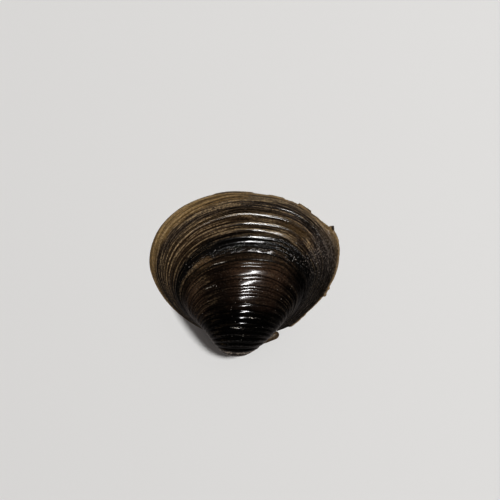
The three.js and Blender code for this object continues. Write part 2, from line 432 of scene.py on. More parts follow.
def cardinalAt(point):
    # 0 on the bare plate, 1 on one of the teeth below the beak
    rise = 0.0
    reach = Vector((point.x, point.y, 0)) - marginKnots[0]
    for tilt, length in teeth["cardinals"]:
        ray = Vector((math.sin(tilt), math.cos(tilt), 0))
        along = (reach.dot(ray) - teeth["cardinalStart"]) / length
        if 0 < along < 1:
            aside = (reach - ray * reach.dot(ray)).length / (teeth["cardinalWidth"] / 2)
            ends = math.sin(math.pi * along) ** teeth["cardinalEnds"]
            rise = max(rise, ends * fadeOut(aside, *teeth["cardinalFlank"]))
    return rise


def toothAt(i, point, across):
    # 0 on the bare plate, 1 on a tooth, below 0 in the socket between two laterals
    rise = cardinalAt(point)
    share = shares[i] % 1.0
    for start, end in teeth["laterals"]:
        along = (share - start) / (end - start)
        if 0 < along < 1:
            ends = math.sin(math.pi * along) ** teeth["lateralEnds"]
            for place in teeth["lateralPlaces"]:
                aside = abs(across - place) / teeth["lateralWidth"]
                rise = max(rise, ends * fadeOut(aside, *teeth["lateralFlank"]))
            fromSocket = abs(across - sum(teeth["lateralPlaces"]) / 2)
            socket = ends * fadeOut(fromSocket, *teeth["socketFlank"])
            rise -= socket * teeth["socketDepth"] / teeth["socketRoom"]
    return rise


def innerPoint(i, size, extraTurn=0.0, closing=0.0):
    p = column[i]
    middle = tallness(size) * inside["middleHeight"]
    thickened = smoothstep(1 - size, 0, inside["wallGrowth"])
    inset = 1 - lerp(inside["edgeWall"], inside["wall"], thickened) / (size * inside["meanRadius"])
    opened = math.sqrt(1 - closing**2)
    reach = middle + (tallness(size) * p.y - middle) * inset + inside["plateWidth"] * plateShare(p)
    point = turned(alongX(p, size) * inset * opened, lerp(middle, reach, opened), turnAt(size) + extraTurn)
    point.z += plateLevel(p) * opened
    return point


def platePoint(i, across):
    # a point between the lip and the hollow, on the hinge plate with its teeth or on the plain rim
    p = column[i]
    level = plateLevel(p)
    start = lipPoint(i, inside["lipWidth"] + inside["lipStep"], level)
    point = start.lerp(innerPoint(i, 1.0), across)
    clear = smoothstep(across, 0, teeth["clear"]) * smoothstep(1 - across, 0, teeth["clear"])
    tooth = toothAt(i, point, across) * clear
    room = level * teeth["rise"]
    if tooth < 0:
        room = max(room, teeth["socketRoom"] * plateShare(p))
    point.z = max(teeth["floorGap"], point.z - tooth * room)
    return point


def insidePoint(i, row):
    # row runs from 0 at the step behind the lip to 1 at the top of the hollow
    plateEnd = lerp(inside["rimRows"], inside["plateRows"], plateShare(column[i]))
    if row < plateEnd:
        across = row / plateEnd
        return platePoint(i, across), inside["plateGrowth"] * across
    down = (row - plateEnd) / (1 - plateEnd)
    depth = lerp(inside["plateGrowth"], 1, down)
    share = 1 - inside["closingRows"]
    if down < share:
        return innerPoint(i, lerp(1.0, inside["innerSize"], down / share)), depth
    closing = math.sin(inside["closingEnd"] * (down - share) / (1 - share) * math.pi / 2)
    return innerPoint(i, inside["innerSize"], inside["closingTurn"] * closing, closing), depth


def valveRows():
    # each row of the mesh as a function of the column, giving its point, growth and relief
    def outer(size, crest, place):
        def at(i):
            point, profile = outerPoint(i, size, crest, place)
            return point, size, profile
        return at

    def lip(inset, growth):
        def at(i):
            return lipPoint(i, inset, 0.0), growth, 0.0
        return at

    def hollow(row):
        def at(i):
            point, depth = insidePoint(i, row)
            return point, inside["hollowGrowth"] + depth, 0.0
        return at

    rows = [outer(valve["tipSize"], 0, 1)]
    before = valve["tipSize"]
    for k, (crest, after, _) in enumerate(crests):
        steps = crestSteps(crest)
        for place in [-1, *(-step for step in reversed(steps)), 0, *steps]:
            rows.append(outer(lerp(crest, before if place < 0 else after, abs(place)), k, place))
        before = after
    rows.append(outer(1.0, len(crests) - 1, 1))
    insets = (edge["round"], inside["lipWidth"] / 2, inside["lipWidth"])
    rows += [lip(inset, growth) for inset, growth in zip(insets, inside["lipGrowth"])]
    rows += [hollow(row / inside["rows"]) for row in range(inside["rows"] + 1)]
    return rows


def extrudeRim(bm, rim):
    # the points and the edges of a new row
    grown = bmesh.ops.extrude_edge_only(bm, edges=rim)["geom"]
    verts = [x for x in grown if isinstance(x, bmesh.types.BMVert)]
    return verts, [x for x in grown if isinstance(x, bmesh.types.BMEdge)]


def startRing(bm, sides):
    # first row of a piece, each point knowing its column
    columnLayer = bm.verts.layers.int.new("column")
    ring = bmesh.ops.create_circle(bm, cap_ends=False, segments=sides, radius=1)["verts"]
    for i, vert in enumerate(ring):
        vert[columnLayer] = i
    return ring, columnLayer


def makePiece(bm, name):
    # the closed mesh as a smooth piece with its normals outwards
    bmesh.ops.recalc_face_normals(bm, faces=bm.faces)
    for face in bm.faces:
        face.smooth = True
    bm.verts.layers.int.remove(bm.verts.layers.int["column"])
    mesh = bpy.data.meshes.new(name)
    bm.to_mesh(mesh)
    bm.free()
    piece = bpy.data.objects.new(name, mesh)
    bpy.context.collection.objects.link(piece)
    return piece


def buildValve():
    bm = bmesh.new()
    growthLayer = bm.verts.layers.float_vector.new("growthMap")
    reliefLayer = bm.verts.layers.float.new("relief")
    ring, columnLayer = startRing(bm, len(shares))

    def place(verts, row):
        for vert in verts:
            i = vert[columnLayer]
            point, growth, relief = row(i)
            vert.co = inFrame(point)
            vert[growthLayer] = Vector((*around[i], growth))
            vert[reliefLayer] = relief

    rows = valveRows()
    place(ring, rows[0])
    tipRim = rim = bm.edges[:]
    for row in rows[1:]:
        verts, rim = extrudeRim(bm, rim)
        place(verts, row)
    for end in (tipRim, rim):  # close the beak and the top of the hollow
        verts, _ = extrudeRim(bm, end)
        middle = sum((vert.co for vert in verts), Vector()) / len(verts)
        bmesh.ops.pointmerge(bm, verts=verts, merge_co=middle)
    for face in bm.faces:
        face.material_index = int(max(vert[growthLayer].z for vert in face.verts) > valve["skinEnd"])
    return makePiece(bm, "clamValve")


# Ligament: a horny bean along the back slope of the hinge, in mm from the beak.
ligament = {
    "path": [(2.9, -0.28, 0.8), (4.0, 0.17, 0.85), (5.1, 0.72, 0.85), (6.1, 1.22, 0.8)],
    "steps": 20,            # of the fine line from one point of the path to the next
    "radius": [(0.0, 0.42), (0.5, 0.55), (0.8, 0.66), (1.0, 0.6)],  # along it, in mm
    "leastRadius": 0.02,
    "blunt": 4.5,           # how full its ends are
    "tipShare": 0.004,      # share of its length that is cut off flat at both ends
    "rings": 40,
    "sides": 28,
    "wrinkle": 0.04,
    "wrinkleNoise": (2, 2.4),  # how fast along it and round it
}


def ligamentSpine():
    # the path as a fine line
    knots = [Vector(p) for p in ligament["path"]]
    ends = [2 * knots[0] - knots[1]] + knots + [2 * knots[-1] - knots[-2]]
    spine = []
    for p0, p1, p2, p3 in zip(ends, ends[1:], ends[2:], ends[3:]):
        leave, arrive = p1 + (p2 - p0) / 6, p2 - (p3 - p1) / 6
        spine += interpolate_bezier(p1, leave, arrive, p2, ligament["steps"] + 1)[:-1]
    return spine + [knots[-1]]


def buildLigament():
    bm = bmesh.new()
    growthLayer = bm.verts.layers.float_vector.new("growthMap")
    ring, columnLayer = startRing(bm, ligament["sides"])
    spine = ligamentSpine()
    alongNoise, roundNoise = ligament["wrinkleNoise"]

    def place(verts, share):
        at = share * (len(spine) - 1)
        k = min(int(at), len(spine) - 2)
        centre = spine[k].lerp(spine[k + 1], at - k)
        ahead = (spine[k + 1] - spine[k]).normalized()
        side = Vector((-ahead.y, ahead.x, 0)).normalized()
        up = ahead.cross(side)
        plain = alongStops(ligament["radius"], share) * (1 - abs(2 * share - 1) ** ligament["blunt"]) ** 0.5
        for vert in verts:
            turn = 2 * math.pi * vert[columnLayer] / ligament["sides"]
            c, s = math.cos(turn), math.sin(turn)
            wrinkle = noise.noise(Vector((share * alongNoise, c * roundNoise, s * roundNoise)))
            radius = max(plain + ligament["wrinkle"] * wrinkle, ligament["leastRadius"])
            vert.co = inFrame(centre + (side * c + up * s) * radius)
            vert[growthLayer] = Vector((c, s, share))

    place(ring, ligament["tipShare"])
    startRim = rim = bm.edges[:]
    for k in range(1, ligament["rings"] + 1):
        verts, rim = extrudeRim(bm, rim)
        place(verts, 0.5 - (0.5 - ligament["tipShare"]) * math.cos(math.pi * k / ligament["rings"]))
    for end in (startRim, rim):
        bmesh.ops.contextual_create(bm, geom=end)
    return makePiece(bm, "hingeLigament")


# Materials: colours are given as on the screen, from 0 to 255.
def colour(red, green, blue):
    # as the shader wants it
    def linear(value):
        share = value / 255
        return ((share + 0.055) / 1.055) ** 2.4 if value > 10 else share / 12.92

    return (linear(red), linear(green), linear(blue), 1.0)


class Nodes:
    # a material's tree, with short calls for the nodes used here
    def __init__(self, name):
        self.material = bpy.data.materials.new(name)
        self.material.use_nodes = True
        self.tree = self.material.node_tree
        self.shader = self.tree.nodes["Principled BSDF"]

    def put(self, value, socket):
        if isinstance(value, bpy.types.NodeSocket):
            self.tree.links.new(value, socket)
        else:
            socket.default_value = value

    def add(self, kind, inputs=None, **settings):
        node = self.tree.nodes.new(kind)
        for key, value in settings.items():
            setattr(node, key, value)
        for key, value in (inputs or {}).items():
            self.put(value, node.inputs[key])
        return node

    def attribute(self, name):
        return self.add("ShaderNodeAttribute", attribute_name=name)

    def place(self):
        return self.add("ShaderNodeTexCoord").outputs["Object"]

    def split(self, vector):
        return self.add("ShaderNodeSeparateXYZ", {0: vector}).outputs

    def stretch(self, vector, scale):
        return self.add("ShaderNodeMapping", {"Vector": vector, "Scale": scale}).outputs[0]

    def noise(self, vector, scale=1.0, detail=3.0, roughness=0.5):
        inputs = {"Vector": vector, "Scale": scale, "Detail": detail, "Roughness": roughness}
        return self.add("ShaderNodeTexNoise", inputs).outputs[0]

    def math(self, operation, a, b=0.0):
        return self.add("ShaderNodeMath", {0: a, 1: b}, operation=operation).outputs[0]

    def times(self, first, *others):
        for other in others:
            first = self.math("MULTIPLY", first, other)
        return first

    def plus(self, a, b):
        return self.math("ADD", a, b)

    def minus(self, a, b):
        return self.math("SUBTRACT", a, b)

    def most(self, a, b):
        return self.math("MAXIMUM", a, b)

    def range(self, value, low, high, toLow=0.0, toHigh=1.0):
        inputs = {"Value": value, "From Min": low, "From Max": high, "To Min": toLow, "To Max": toHigh}
        return self.add("ShaderNodeMapRange", inputs, interpolation_type="SMOOTHSTEP").outputs[0]

    def blend(self, amount, none, full):
        # from one number to another as the amount goes from 0 to 1
        return self.range(amount, 0.0, 1.0, none, full)

    def mix(self, share, a, b, blend="MIX"):
        inputs = {0: share, 6: a, 7: b}
        return self.add("ShaderNodeMix", inputs, data_type="RGBA", blend_type=blend).outputs[2]

    def tint(self, shade, left):
        # a shade with this much of its colour left
        return self.mix(1.0, shade, left, "MULTIPLY")

    def ramp(self, value, stops):
        node = self.add("ShaderNodeValToRGB", {0: value})
        elements = node.color_ramp.elements
        while len(elements) < len(stops):
            elements.new(0.5)
        for element, (position, shade) in zip(elements, stops):
            element.position = position
            element.color = shade
        return node.outputs[0]

    def level(self, value, stops):
        # a ramp of plain numbers
        return self.ramp(value, [(position, (number, number, number, 1)) for position, number in stops])

    def spot(self, vector, middle, reach, turn=0.0, soft=0.5):
        # 1 in the middle of an oval seen from above, 0 outside it
        inputs = {"Vector": vector, "Location": (*middle, 0)}
        inputs |= {"Rotation": (0, 0, turn), "Scale": (*reach, 1)}
        away = self.add("ShaderNodeMapping", inputs, vector_type="TEXTURE").outputs[0]
        flat = self.stretch(away, (1, 1, 0))
        length = self.add("ShaderNodeVectorMath", {0: flat}, operation="LENGTH").outputs["Value"]
        return self.range(length, 1.0, soft)

    def bump(self, height, distance, strength=1.0, normal=None):
        inputs = {"Height": height, "Distance": distance, "Strength": strength}
        if normal is not None:
            inputs["Normal"] = normal
        return self.add("ShaderNodeBump", inputs).outputs[0]


noiseSpread = (0.3, 0.7)  # most of a noise lies between these
skinNoise = {
    # along the growth lines: scale in the growth map, detail and roughness
    "wander": ((5, 5, 14), 4, 0.5),
    "lines": ((1.7, 1.7, 95), 2.5, 0.6),
    "broad": ((2.5, 2.5, 14), 3, 0.5),
    "patchy": ((16, 16, 60), 4, 0.6),
    # even all over: scale, detail and roughness
    "mottle": (420, 4, 0.6),
    "grain": (3600, 3, 0.6),
    "speck": (4000, 2, 0.6),
    "crinkle": (2400, 3, 0.6),
    "dent": (800, 2, 0.5),
}

# Skin: the colours go by growth line, from the beak to the margin, on the front end and on the back end.
# In the values below "Lines" are growth lines, and "From" and "To" shares round the margin, if nothing
# else is said. Of two numbers the first is where a change starts, the second where it is full.
skin = {
    "front": [
        (0.0, colour(6, 5, 6)), (0.41, colour(7, 6, 6)), (0.45, colour(40, 29, 22)),
        (0.58, colour(58, 43, 32)), (0.63, colour(50, 38, 27)), (0.658, colour(36, 27, 19)),
        (0.672, colour(11, 9, 8)), (0.725, colour(12, 10, 9)), (0.738, colour(36, 28, 20)),
        (0.75, colour(46, 36, 25)), (0.80, colour(52, 40, 28)), (0.85, colour(57, 46, 32)),
        (0.875, colour(49, 40, 31)), (0.892, colour(45, 37, 30)), (0.91, colour(66, 55, 43)),
        (0.93, colour(108, 88, 58)), (0.955, colour(138, 114, 77)), (1.0, colour(146, 123, 85)),
    ],
    "back": [
        (0.0, colour(6, 5, 6)), (0.41, colour(7, 6, 6)), (0.45, colour(26, 19, 16)),
        (0.58, colour(34, 26, 21)), (0.645, colour(24, 18, 15)), (0.665, colour(9, 8, 8)),
        (0.72, colour(12, 11, 11)), (0.75, colour(40, 34, 30)), (0.80, colour(52, 44, 39)),
        (0.85, colour(56, 48, 42)), (0.868, colour(44, 37, 32)), (0.88, colour(40, 34, 30)),
        (0.893, colour(48, 41, 34)), (0.95, colour(70, 59, 46)), (0.975, colour(106, 89, 65)),
        (0.99, colour(138, 115, 79)), (1.0, colour(146, 123, 85)),
    ],
    "wander": 0.008,             # how far a colour strays from its growth line
    "ragged": 0.025,             # and from its share round the margin
    "lateTan": 0.04,             # growth by which the tan margin starts later on the front end
    "lateTanTo": (0.2, 0.36),
    "lateTanLines": (0.86, 0.92),
    "backFrom": (0.615, 0.67),
    "innerBackFrom": (0.555, 0.73),  # the same on the middle ridges, where the colours change slowly
    "innerLines": (0.6, 0.7),
    "marginBackFrom": 0.14,      # near the margin they change earlier by this
    "marginLines": (0.84, 0.875),
    "roughFrom": (0.635, 0.68),  # rough skin of the back end
    "roughLines": (0.66, 0.74),
    # patches: middle and reach in metres, and colour
    "brownPatch": ((-0.0064, 0.0016), (0.002, 0.0016), colour(66, 52, 36)),
    "brownPatchLines": (0.695, 0.68),
    "darkNub": ((0.0142, 0.0071), (0.0006, 0.0006), colour(22, 17, 12)),
    "smoothPatch": ((0.0078, 0.0066), (0.0034, 0.0024), colour(56, 43, 26)),
    "smoothPatchLines": (0.775, 0.787),
    "smoothPatchEnd": (0.842, 0.832),
}


def alongGrowth(n, growth, name):
    # noise that follows the growth lines
    scale, detail, roughness = skinNoise[name]
    return n.noise(n.stretch(growth, scale), 1.0, detail, roughness)


def skinChart(n):
    # what the skin's colours and relief are laid out by
    chart = SimpleNamespace(place=n.place())
    chart.growth = n.attribute("growthMap").outputs["Vector"]
    chart.relief = n.attribute("relief").outputs["Fac"]
    chart.turnX, turnY, chart.size = n.split(chart.growth)
    # share round the margin, from the beak by the front end, the free edge and the back end
    chart.share = n.math("FRACT", n.math("DIVIDE", n.math("ARCTAN2", turnY, chart.turnX), 2 * math.pi))
    # growth lines wander a little, and the back end has its own colours
    wander = alongGrowth(n, chart.growth, "wander")
    chart.zone = n.plus(chart.size, n.range(wander, *noiseSpread, -skin["wander"], skin["wander"]))
    chart.mottle = n.noise(chart.place, *skinNoise["mottle"])
    chart.ragged = n.plus(chart.share, n.range(chart.mottle, *noiseSpread, -skin["ragged"], skin["ragged"]))
    nearMargin = n.range(chart.size, *skin["marginLines"], 0.0, skin["marginBackFrom"])
    chart.backward = n.plus(chart.ragged, nearMargin)
    ends = zip(skin["innerBackFrom"], skin["backFrom"])
    backStart, backEnd = (n.range(chart.size, *skin["innerLines"], inner, outer) for inner, outer in ends)
    chart.back = n.range(chart.backward, backStart, backEnd)
    rough = n.range(chart.ragged, *skin["roughFrom"])
    chart.rough = n.times(rough, n.range(chart.size, *skin["roughLines"]))
    smooth = n.spot(chart.place, *skin["smoothPatch"][:2])
    smooth = n.times(smooth, n.range(chart.zone, *skin["smoothPatchLines"]))
    chart.smooth = n.times(smooth, n.range(chart.zone, *skin["smoothPatchEnd"]))
    chart.lines = alongGrowth(n, chart.growth, "lines")
    chart.grain = n.noise(chart.place, *skinNoise["grain"])
    chart.broad = alongGrowth(n, chart.growth, "broad")
    return chart


def groundShade(n, chart):
    late = n.range(chart.share, *skin["lateTanTo"], skin["lateTan"], 0.0)
    late = n.times(late, n.range(chart.size, *skin["lateTanLines"]))
    front = n.ramp(n.minus(chart.zone, late), skin["front"])
    shade = n.mix(chart.back, front, n.ramp(chart.zone, skin["back"]))
    # patches of bare brown skin
    brown = n.spot(chart.place, *skin["brownPatch"][:2])
    brown = n.times(brown, n.range(chart.zone, *skin["brownPatchLines"]))
    shade = n.mix(brown, shade, skin["brownPatch"][2])
    shade = n.mix(chart.smooth, shade, skin["smoothPatch"][2])
    return n.mix(n.spot(chart.place, *skin["darkNub"][:2]), shade, skin["darkNub"][2])


# How light the skin is from place to place; the lightening of the front end is painted light.
lightness = {
    "hinge": (0.45, 0.13),         # how much of its colour is left beside the hinge, in front and behind
    "hingeStart": (-0.008, -0.006),  # y in metres up to which that is so, in front and behind
    "hingeEnd": 0.005,             # y where all of it is left
    "hingeBack": 0.0045,           # on the back end both lie further out by this
    "edge": 0.75,                  # how much is left at least on the edge
    "edgeLines": (0.965, 0.985),
    "front": 1.74,                 # painted light: the front end, which the key light leaves dim, is lighter by this
    "frontEdge": 1.1,              # and its edge by this
    "frontLines": (0.88, 0.96),
    "frontTo": (0.47, 0.33),
    "middle": 0.25,                # how much the middle ridges keep towards the front
    "middleTo": (0.4, 0.47),
    "middleFrom": (0.3, 0.36),
    "middleLines": (0.65, 0.61),
}


def addLightness(n, chart):
    # the skin is darker towards the hinge, and lighter on the front end as painted light
    y = n.split(chart.place)[1]
    chart.fromHinge = n.minus(y, n.times(chart.back, lightness["hingeBack"]))
    start = n.blend(chart.back, *lightness["hingeStart"])
    left = n.blend(chart.back, *lightness["hinge"])
    hinge = n.range(chart.fromHinge, start, lightness["hingeEnd"], left, 1.0)
    hinge = n.most(hinge, n.range(chart.size, *lightness["edgeLines"], 0.0, lightness["edge"]))
    front = n.range(chart.size, *lightness["frontLines"], lightness["front"], lightness["frontEdge"])
    chart.hinge = n.times(hinge, n.range(chart.share, *lightness["frontTo"], 1.0, front))


def lightShade(n, chart, shade):
    # the darkening towards the hinge and the painted light of the front end; the middle ridges are darker
    # towards the front as well
    shade = n.tint(shade, chart.hinge)
    middle = n.range(chart.size, *lightness["middleLines"])
    middle = n.times(middle, n.range(chart.share, *lightness["middleFrom"]))
    left = n.range(chart.share, *lightness["middleTo"], lightness["middle"], 1.0)
    return n.mix(middle, shade, n.tint(shade, left))


# Fine growth lines: dark ones, and pale ones broken into beads, and painted shade in the grooves of the
# inner half. "Noise" is where in the noise they show.
fineLines = {
    "inner": 0.35,                 # share of them on the inner half
    "innerLines": (0.55, 0.75),
    "smooth": 0.35,                # and on the smooth patch
    "dark": (0.32, 0.3, 0.28, 1),  # what a dark one leaves of the colour
    "darkNoise": (0.52, 0.4),
    "darkFront": 0.7,              # share of them on the front end
    "darkFrontTo": (0.3, 0.42),
    "darkRough": 0.55,             # and on rough skin
    "pale": [(0.86, colour(142, 122, 94)), (0.95, colour(174, 152, 116))],
    "paleRough": colour(124, 113, 106),
    "paleNoise": (0.52, 0.62),
    "paleShare": (0.15, 0.6),      # from the inner half to the outer one
    "paleLines": (0.72, 0.76),
    "paleFront": 0.45,             # share of them at least on the front end
    "paleFrontTo": (0.42, 0.36),
    "beads": 0.15,                 # what is left of a pale one between its beads
    "beadsStart": (0.36, 0.5),     # where in the grain the beads start, on plain and on rough skin
    "beadsFull": (0.62, 0.6),
    "groove": 0.1,                 # painted shade: how much of its colour is left in a groove of the inner half
    "grooveTop": 0.55,             # share of the height where all is left
    "grooveLines": (0.72, 0.745),
    "grain": (0.6, 1.4),           # how much the grain darkens and lightens
}


def linedShade(n, chart, shade):
    lined = n.range(chart.size, *fineLines["innerLines"], fineLines["inner"], 1.0)
    lined = n.times(lined, n.blend(chart.smooth, 1.0, fineLines["smooth"]))
    darkShare = n.range(chart.share, *fineLines["darkFrontTo"], fineLines["darkFront"], 1.0)
    darkShare = n.times(lined, n.blend(chart.rough, darkShare, fineLines["darkRough"]))
    dark = n.times(n.range(chart.lines, *fineLines["darkNoise"]), darkShare)
    shade = n.mix(dark, shade, n.tint(shade, fineLines["dark"]))
    beadsStart = n.blend(chart.rough, *fineLines["beadsStart"])
    beadsFull = n.blend(chart.rough, *fineLines["beadsFull"])
    beads = n.range(chart.grain, beadsStart, beadsFull, fineLines["beads"], 1.0)
    pale = n.times(n.range(chart.lines, *fineLines["paleNoise"]), beads, lined)
    paleShare = n.range(chart.zone, *fineLines["paleLines"], *fineLines["paleShare"])
    paleFront = n.range(chart.share, *fineLines["paleFrontTo"], 0.0, fineLines["paleFront"])
    paleShare = n.times(n.most(paleShare, paleFront), chart.hinge)
    paleColour = n.mix(chart.rough, n.ramp(chart.size, fineLines["pale"]), fineLines["paleRough"])
    shade = n.mix(n.times(pale, paleShare), shade, paleColour)
    # painted shade in the grooves of the inner half, by the ridges' relief
    groove = n.range(chart.relief, 0.0, fineLines["grooveTop"], fineLines["groove"], 1.0)
    shade = n.mix(n.range(chart.size, *fineLines["grooveLines"], 1.0, 0.0), shade, n.tint(shade, groove))
    return n.tint(shade, n.range(chart.grain, *noiseSpread, *fineLines["grain"]))


# Pale crests: worn on the outer half; on the middle's flanks painted reflections of the floor; at the beak
# partly worn, partly painted reflection and highlight.
rubAndReflection = {
    "share": [                     # how far, by growth line
        (0.0, 0.12), (0.15, 0.12), (0.162, 0.7), (0.168, 0.7), (0.176, 0.12), (0.19, 0.12),
        (0.196, 0.9), (0.203, 0.9), (0.214, 0.36), (0.4, 0.34), (0.45, 0.5), (0.64, 0.5),
        (0.67, 0.2), (0.715, 0.25), (0.74, 0.95), (0.87, 0.9), (0.92, 0.6), (1.0, 0.3),
    ],
    # the beak's pale tip and its grey lines are partly painted highlight and reflection; the tan of the
    # outer half is wear
    "colour": [
        (0.0, colour(214, 198, 184)), (0.205, colour(214, 198, 184)), (0.22, colour(104, 102, 100)),
        (0.4, colour(92, 87, 82)), (0.5, colour(94, 80, 64)), (0.72, colour(92, 80, 66)),
        (0.75, colour(146, 126, 96)), (0.87, colour(150, 132, 106)), (1.0, colour(150, 130, 94)),
    ],
    "broad": 0.35,                 # least share of it, as it changes from place to place
    "broadNoise": (0.3, 0.65),
    "patch": 0.15,                 # the same from patch to patch
    "patchNoise": (0.34, 0.6),
    "grain": 0.5,                  # and in the grain
    "grainNoise": (0.35, 0.6),
    "back": 0.25,                  # share of it on the back end
    "backFrom": (0.52, 0.62),
    "backLines": (0.7, 0.66),      # further in, the back end has all of it
    "front": 0.5,                  # share of it on the front end
    "frontTo": (0.2, 0.36),
    "flanks": (-0.85, -0.3),       # cosine round the margin, from its middle to the flanks, where the pale crest lines are painted reflections
    "outerLines": (0.7, 0.73),     # further out and further in, the middle is rubbed too
    "innerLines": (0.36, 0.3),
    "heights": (0.8, 0.4),         # share of the height where it starts, on the inner and the outer half
    "heightLines": (0.69, 0.73),
    "heightTo": (0.24, 0.36),      # the same from the front end on
    "fullHeight": 0.98,
    "beakLines": (0.208, 0.22),    # further in, the grooves are pale too: the beak's tip, partly worn and partly a painted highlight
    "beakHeight": -1.5,            # factor on the heights there
}


def rubAndReflectionShade(n, chart, shade):
    share = n.range(chart.broad, *rubAndReflection["broadNoise"], rubAndReflection["broad"], 1.0)
    share = n.times(n.level(chart.zone, rubAndReflection["share"]), share)
    back = n.range(chart.backward, *rubAndReflection["backFrom"], 1.0, rubAndReflection["back"])
    back = n.most(back, n.range(chart.size, *rubAndReflection["backLines"]))
    share = n.times(share, back, n.range(chart.share, *rubAndReflection["frontTo"], rubAndReflection["front"], 1.0))
    flank = n.range(chart.turnX, *rubAndReflection["flanks"])
    flank = n.most(flank, n.range(chart.size, *rubAndReflection["outerLines"]))
    flank = n.most(flank, n.range(chart.size, *rubAndReflection["innerLines"]))
    start = n.range(chart.size, *rubAndReflection["heightLines"], *rubAndReflection["heights"])
    start = n.most(start, n.range(chart.share, *rubAndReflection["heightTo"], *rubAndReflection["heights"]))
    start = n.times(start, n.range(chart.size, *rubAndReflection["beakLines"], rubAndReflection["beakHeight"], 1.0))
    # pale crest lines: worn on the outer half, painted reflections on the flanks, both at the beak
    rubAndReflectionShare = n.times(n.range(chart.relief, start, rubAndReflection["fullHeight"]), n.times(flank, share))
    patchy = alongGrowth(n, chart.growth, "patchy")
    rubAndReflectionShare = n.times(rubAndReflectionShare, n.range(patchy, *rubAndReflection["patchNoise"], rubAndReflection["patch"], 1.0))
    rubAndReflectionShare = n.times(rubAndReflectionShare, n.range(chart.grain, *rubAndReflection["grainNoise"], rubAndReflection["grain"], 1.0))
    return n.mix(rubAndReflectionShare, shade, n.ramp(chart.zone, rubAndReflection["colour"]))


# Grey specks, most of them on the back end: flaking skin, partly painted glints of the rough skin. Pale
# flecks, and a few pale dashes: scratches, and one painted highlight on a ridge near the beak.
marksAndGlints = {
    # grey specks: flaking skin, and painted glints of the rough skin
    "speck": colour(128, 118, 110),
    "speckNoise": (0.57, 0.63),
    "speckShare": (0.06, 0.6),     # on plain and on rough skin
    "speckHinge": 0.3,             # what is left of that beside the hinge
    "speckHingeEnd": (-0.007, 0.0),  # y in metres
    "speckOuter": 0.2,             # share at least on the outer half
    "speckLines": (0.73, 0.9),
    "fleck": colour(206, 200, 190),
    "fleckSpacing": (26, 26, 90),  # cells round the margin and from the beak to the edge
    "fleckSeldom": (0.88, 0.93),   # share of the cells without one, on the front end and elsewhere
    "fleckTo": (0.32, 0.38),
    "fleckSoft": 0.03,
    "fleckReach": (0.24, 0.06),    # of a cell
    "fleckNoise": (0.42, 0.6),
    "fleckShare": 0.7,
    "scratchesAndHighlight": [                 # middle and reach in metres, turn in radians
        # the first is a painted highlight on a ridge near the beak, the rest are scratches
        ((-0.00115, -0.00808), (0.0012, 0.00016), 0.0), ((0.0012, -0.0066), (0.0015, 0.00014), -0.12),
        ((-0.0051, -0.0020), (0.0011, 0.00013), 0.42), ((-0.0005, -0.00105), (0.0005, 0.0001), 0.9),
        ((-0.0037, 0.0016), (0.0014, 0.00011), 0.24),
    ],
    "scratchSoft": 0.2,
    "scratchNoise": (0.46, 0.58),
    "scratchShare": 0.75,
}


def marksAndGlintsShade(n, chart, shade):
    # grey specks: flaking skin and painted glints
    specks = n.range(n.noise(chart.place, *skinNoise["speck"]), *marksAndGlints["speckNoise"])
    share = n.blend(chart.rough, *marksAndGlints["speckShare"])
    share = n.times(share, n.range(chart.fromHinge, *marksAndGlints["speckHingeEnd"], marksAndGlints["speckHinge"], 1.0))
    share = n.most(share, n.range(chart.size, *marksAndGlints["speckLines"], 0.0, marksAndGlints["speckOuter"]))
    shade = n.mix(n.times(specks, share), shade, marksAndGlints["speck"])
    spaced = n.stretch(chart.growth, marksAndGlints["fleckSpacing"])
    cells = n.add("ShaderNodeTexVoronoi", {"Vector": spaced, "Scale": 1.0}).outputs
    seldom = n.range(chart.share, *marksAndGlints["fleckTo"], *marksAndGlints["fleckSeldom"])
    fleck = n.range(n.split(cells["Color"])[0], seldom, n.plus(seldom, marksAndGlints["fleckSoft"]))
    fleck = n.times(fleck, n.range(cells["Distance"], *marksAndGlints["fleckReach"]))
    fleck = n.times(fleck, n.range(chart.mottle, *marksAndGlints["fleckNoise"], 0.0, marksAndGlints["fleckShare"]))
    shade = n.mix(fleck, shade, marksAndGlints["fleck"])
    # pale dashes: scratches, and one painted highlight on a ridge near the beak
    for middle, reach, turn in marksAndGlints["scratchesAndHighlight"]:
        scratch = n.spot(chart.place, middle, reach, turn, marksAndGlints["scratchSoft"])
        scratch = n.times(scratch, n.range(chart.grain, *marksAndGlints["scratchNoise"]), marksAndGlints["scratchShare"])
        shade = n.mix(scratch, shade, marksAndGlints["fleck"])
    return shade


# Gloss by growth line, and what is in relief: depth in metres, and strength on the inner and outer half.
surface = {
    "roughness": [
        (0.0, 0.1), (0.42, 0.1), (0.46, 0.15), (0.62, 0.15), (0.655, 0.16),
        (0.69, 0.17), (0.73, 0.17), (0.87, 0.18), (1.0, 0.34),
    ],
    "backRoughness": 0.24,
    "broadRoughness": (0.04, -0.03),  # how much it changes from place to place
    "lineRoughness": (-0.02, 0.04),   # and from line to line
    "lineNoise": (0.35, 0.65),
    "refraction": 1.5,
    "lineDepth": 0.00005,
    "lineStrength": (0.12, 0.8),
    "lineLines": (0.71, 0.78),
    "crinkleDepth": 0.0003,        # on the black band and the rough back end
    "crinkleStrength": 0.9,
    "crinkleLines": (0.652, 0.668),
    "crinkleEnd": (0.69, 0.74),    # growth line where it ends, in front and behind
    "crinkleEndFrom": (0.5, 0.6),
    "crinkleSoft": 0.006,
    "dentDepth": 0.00012,
    "dentStrength": (0.06, 0.12),
    "dentLines": (0.62, 0.72),
    "grainDepth": 0.00003,
    "grainStrength": (0.16, 0.6),
    "grainLines": (0.66, 0.76),
}


